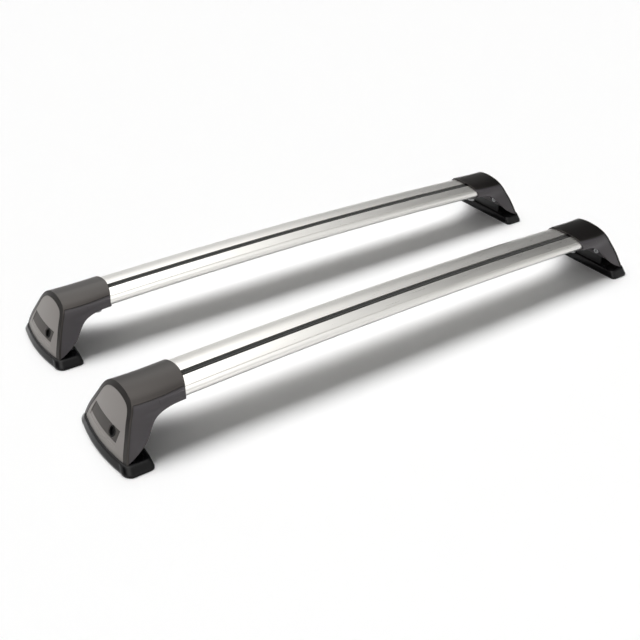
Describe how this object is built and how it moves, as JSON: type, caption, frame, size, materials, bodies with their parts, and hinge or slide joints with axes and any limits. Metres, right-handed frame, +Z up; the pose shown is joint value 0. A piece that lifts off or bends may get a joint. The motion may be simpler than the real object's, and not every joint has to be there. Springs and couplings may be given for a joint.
{
  "type": "roof crossbar pair",
  "caption": "Pair of arched wing-section aluminium roof crossbars with rubber slot strips and moulded locking feet on soft pads.",
  "frame": {"origin": "on the roof under the middle of the pair", "axes": "+X along the bars, -Y towards the leading edges, +Z up"},
  "size_m": [1.037, 0.437, 0.0924],
  "materials": {
    "bar_aluminium": "satin anodised",
    "strip_rubber": "ribbed matt",
    "cover_plastic": "satin moulded",
    "body_plastic": "satin moulded",
    "panel_plastic": "satin moulded",
    "badge_plate": "fine matt",
    "pad_rubber": "gloss moulded",
    "plated_steel": "zinc plated",
    "lock_zinc": "black coated die-cast"
  },
  "bodies": {
    "rack": {"front_bar": "bar_aluminium", "front_slot_strip": "strip_rubber", "front_left_foot_body": "body_plastic", "front_left_outer_cover": "cover_plastic", "front_left_end_panel": "panel_plastic", "front_left_badge_insert": "badge_plate", "front_left_base_bracket": "plated_steel", "front_left_bracket_screws": "plated_steel", "front_left_bracket_nuts": "plated_steel", "front_left_base_pad": "pad_rubber", "front_left_lock_housing": "lock_zinc", "front_left_nut_plate": "plated_steel", "front_left_clamp_screw": "plated_steel", "front_right_foot_body": "body_plastic", "front_right_outer_cover": "cover_plastic", "front_right_end_panel": "panel_plastic", "front_right_badge_insert": "badge_plate", "front_right_base_bracket": "plated_steel", "front_right_bracket_screws": "plated_steel", "front_right_bracket_nuts": "plated_steel", "front_right_base_pad": "pad_rubber", "front_right_lock_housing": "lock_zinc", "front_right_nut_plate": "plated_steel", "front_right_clamp_screw": "plated_steel", "rear_bar": "bar_aluminium", "rear_slot_strip": "strip_rubber", "rear_left_foot_body": "body_plastic", "rear_left_outer_cover": "cover_plastic", "rear_left_end_panel": "panel_plastic", "rear_left_badge_insert": "badge_plate", "rear_left_base_bracket": "plated_steel", "rear_left_bracket_screws": "plated_steel", "rear_left_bracket_nuts": "plated_steel", "rear_left_base_pad": "pad_rubber", "rear_left_lock_housing": "lock_zinc", "rear_left_nut_plate": "plated_steel", "rear_left_clamp_screw": "plated_steel", "rear_right_foot_body": "body_plastic", "rear_right_outer_cover": "cover_plastic", "rear_right_end_panel": "panel_plastic", "rear_right_badge_insert": "badge_plate", "rear_right_base_bracket": "plated_steel", "rear_right_bracket_screws": "plated_steel", "rear_right_bracket_nuts": "plated_steel", "rear_right_base_pad": "pad_rubber", "rear_right_lock_housing": "lock_zinc", "rear_right_nut_plate": "plated_steel", "rear_right_clamp_screw": "plated_steel"},
    "front_left_lock": {"front_left_lock_core": "lock_zinc", "front_left_lock_cam": "plated_steel"},
    "front_right_lock": {"front_right_lock_core": "lock_zinc", "front_right_lock_cam": "plated_steel"},
    "rear_left_lock": {"rear_left_lock_core": "lock_zinc", "rear_left_lock_cam": "plated_steel"},
    "rear_right_lock": {"rear_right_lock_core": "lock_zinc", "rear_right_lock_cam": "plated_steel"}
  },
  "joints": [
    {"name": "front_left_lock_turn", "type": "hinge", "parent": "rack", "child": "front_left_lock", "pos_m": [-0.49895, -0.1571, 0.0364], "axis": [0.891, 0, -0.454], "range_deg": [0, 90]},
    {"name": "front_right_lock_turn", "type": "hinge", "parent": "rack", "child": "front_right_lock", "pos_m": [0.49895, -0.1571, 0.0364], "axis": [0.891, 0, 0.454], "range_deg": [0, 90]},
    {"name": "rear_left_lock_turn", "type": "hinge", "parent": "rack", "child": "rear_left_lock", "pos_m": [-0.49895, 0.1179, 0.0364], "axis": [0.891, 0, -0.454], "range_deg": [0, 90]},
    {"name": "rear_right_lock_turn", "type": "hinge", "parent": "rack", "child": "rear_right_lock", "pos_m": [0.49895, 0.1179, 0.0364], "axis": [0.891, 0, 0.454], "range_deg": [0, 90]}
  ]
}
